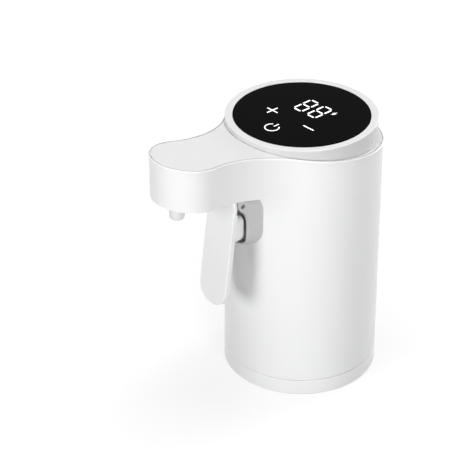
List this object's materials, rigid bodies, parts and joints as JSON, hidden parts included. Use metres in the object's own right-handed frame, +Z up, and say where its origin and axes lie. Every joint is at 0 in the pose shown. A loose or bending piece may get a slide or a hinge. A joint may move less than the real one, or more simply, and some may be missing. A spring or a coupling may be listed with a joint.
{
  "type": "automatic wine dispenser",
  "caption": "Cylindrical bottle-top wine dispenser with a tilted pouring arm, round touch display, downward nozzle and a spring lever under the arm.",
  "frame": {"origin": "on the surface that the base stands on, under the middle of the outline seen from above; the body's axis is 26.55 mm behind it, at +Y", "axes": "+Z up along the body, the arm and the nozzle point to -Y, +X is to the right of someone who faces the nozzle, and the hinge pin's plain end shows on that side"},
  "size_m": [0.0806, 0.1336, 0.1491],
  "materials": {
    "gloss_white": "glossy white moulded plastic",
    "black_glass": "polished black window that the lit marks show through",
    "inner_plastic": "plain grey moulded plastic",
    "dark_plastic": "plain black moulded plastic",
    "steel": "bright steel",
    "motor_case": "plated motor can",
    "cell_sleeve": "blue shrink sleeve over the cell's can",
    "clear_silicone": "milky silicone hose",
    "stopper_silicone": "grey food-grade silicone",
    "board_green": "green glass-fibre board",
    "lead_red": "red insulated lead"
  },
  "bodies": {
    "body_unit": {"main_housing": "gloss_white", "top_cover": "gloss_white", "base_cover": "gloss_white", "neck_socket": "gloss_white", "display_bezel": "gloss_white", "nozzle": "gloss_white", "lever_bracket": "gloss_white", "display_window": "black_glass", "stopper": "stopper_silicone", "nozzle_seal": "stopper_silicone", "wine_pipe": "steel", "air_pipe": "steel", "hinge_pin": "steel", "lever_spring": "steel", "charge_port": "steel", "touch_spring_plus": "steel", "touch_spring_minus": "steel", "touch_spring_power": "steel", "base_screw_1": "steel", "base_screw_2": "steel", "base_screw_3": "steel", "bracket_screw_upper": "steel", "bracket_screw_lower": "steel", "bezel_screw_1": "steel", "bezel_screw_2": "steel", "bezel_screw_3": "steel", "board_screw_1": "steel", "board_screw_2": "steel", "pump_motor": "motor_case", "battery_cell": "cell_sleeve", "chassis_plate": "inner_plastic", "battery_cradle": "inner_plastic", "pump_cradle": "inner_plastic", "pump_head": "inner_plastic", "check_valve": "inner_plastic", "micro_switch": "dark_plastic", "digit_module": "dark_plastic", "main_board": "board_green", "display_board": "board_green", "air_tube": "clear_silicone", "wine_tube": "clear_silicone", "display_cable": "clear_silicone", "battery_lead": "lead_red", "pump_lead": "lead_red", "switch_lead": "lead_red"},
    "lever_unit": {"lever": "gloss_white"},
    "plunger_unit": {"switch_plunger": "inner_plastic"},
    "rotor": {"motor_shaft": "steel", "pump_cam": "dark_plastic"}
  },
  "joints": [
    {"name": "lever_hinge", "type": "hinge", "parent": "body_unit", "child": "lever_unit", "pos_m": [0, -0.02205, 0.1128], "axis": [1, 0, 0], "range_deg": [0, 6], "stiffness_Nm_per_rad": 0.2, "springref_deg": -4.58},
    {"name": "plunger_slide", "type": "slide", "parent": "body_unit", "child": "plunger_unit", "axis": [0, 1, 0], "range_m": [0, 0.0016]},
    {"name": "motor_spin", "type": "hinge", "parent": "body_unit", "child": "rotor", "pos_m": [-0.02228, 0.02968, 0.0699], "axis": [0, 0, 1], "continuous": true}
  ],
  "couplings": [
    {"joint": "plunger_slide", "follows": "lever_hinge", "m_per_rad": 0.015}
  ]
}
